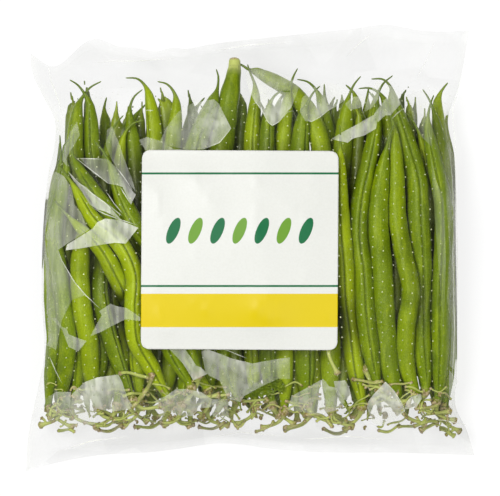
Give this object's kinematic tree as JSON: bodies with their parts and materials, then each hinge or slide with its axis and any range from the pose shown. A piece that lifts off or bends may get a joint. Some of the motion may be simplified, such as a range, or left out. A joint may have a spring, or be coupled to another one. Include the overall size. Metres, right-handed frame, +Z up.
{
  "type": "green bean bundle",
  "caption": "Clear film bag packed with fine green beans lying side by side, stalks at one end and tips at the other, with a plain label on its front.",
  "frame": {"origin": "under the middle of the bag's overall outline, on the surface that the bag lies on", "axes": "+X across the bag to the right as seen from its front, +Y from the stalk ends to the tips, +Z up through the bag's depth from its flat back to its labelled front"},
  "size_m": [0.176, 0.1754, 0.044],
  "materials": {
    "pods": "satin",
    "film": "gloss",
    "label": "satin"
  },
  "bodies": {
    "root": {"front_bean_1": "pods", "front_bean_2": "pods", "front_bean_3": "pods", "front_bean_4": "pods", "front_bean_5": "pods", "front_bean_6": "pods", "front_bean_7": "pods", "front_bean_8": "pods", "front_bean_9": "pods", "front_bean_10": "pods", "front_bean_11": "pods", "front_bean_12": "pods", "front_bean_13": "pods", "front_bean_14": "pods", "front_bean_15": "pods", "front_bean_16": "pods", "front_bean_17": "pods", "front_bean_18": "pods", "front_bean_19": "pods", "front_bean_20": "pods", "front_bean_21": "pods", "front_bean_22": "pods", "front_bean_23": "pods", "front_bean_24": "pods", "front_bean_25": "pods", "front_bean_26": "pods", "front_bean_27": "pods", "front_bean_28": "pods", "front_bean_29": "pods", "front_bean_30": "pods", "front_bean_31": "pods", "front_bean_32": "pods", "front_bean_33": "pods", "front_bean_34": "pods", "front_bean_35": "pods", "front_bean_36": "pods", "back_bean_1": "pods", "back_bean_2": "pods", "back_bean_3": "pods", "back_bean_4": "pods", "back_bean_5": "pods", "back_bean_6": "pods", "back_bean_7": "pods", "back_bean_8": "pods", "back_bean_9": "pods", "back_bean_10": "pods", "back_bean_11": "pods", "back_bean_12": "pods", "back_bean_13": "pods", "back_bean_14": "pods", "back_bean_15": "pods", "back_bean_16": "pods", "inner_beans_1": "pods", "inner_beans_2": "pods", "inner_beans_3": "pods", "inner_beans_4": "pods", "inner_beans_5": "pods", "inner_beans_6": "pods", "film_bag": "film", "label": "label"}
  },
  "joints": []
}
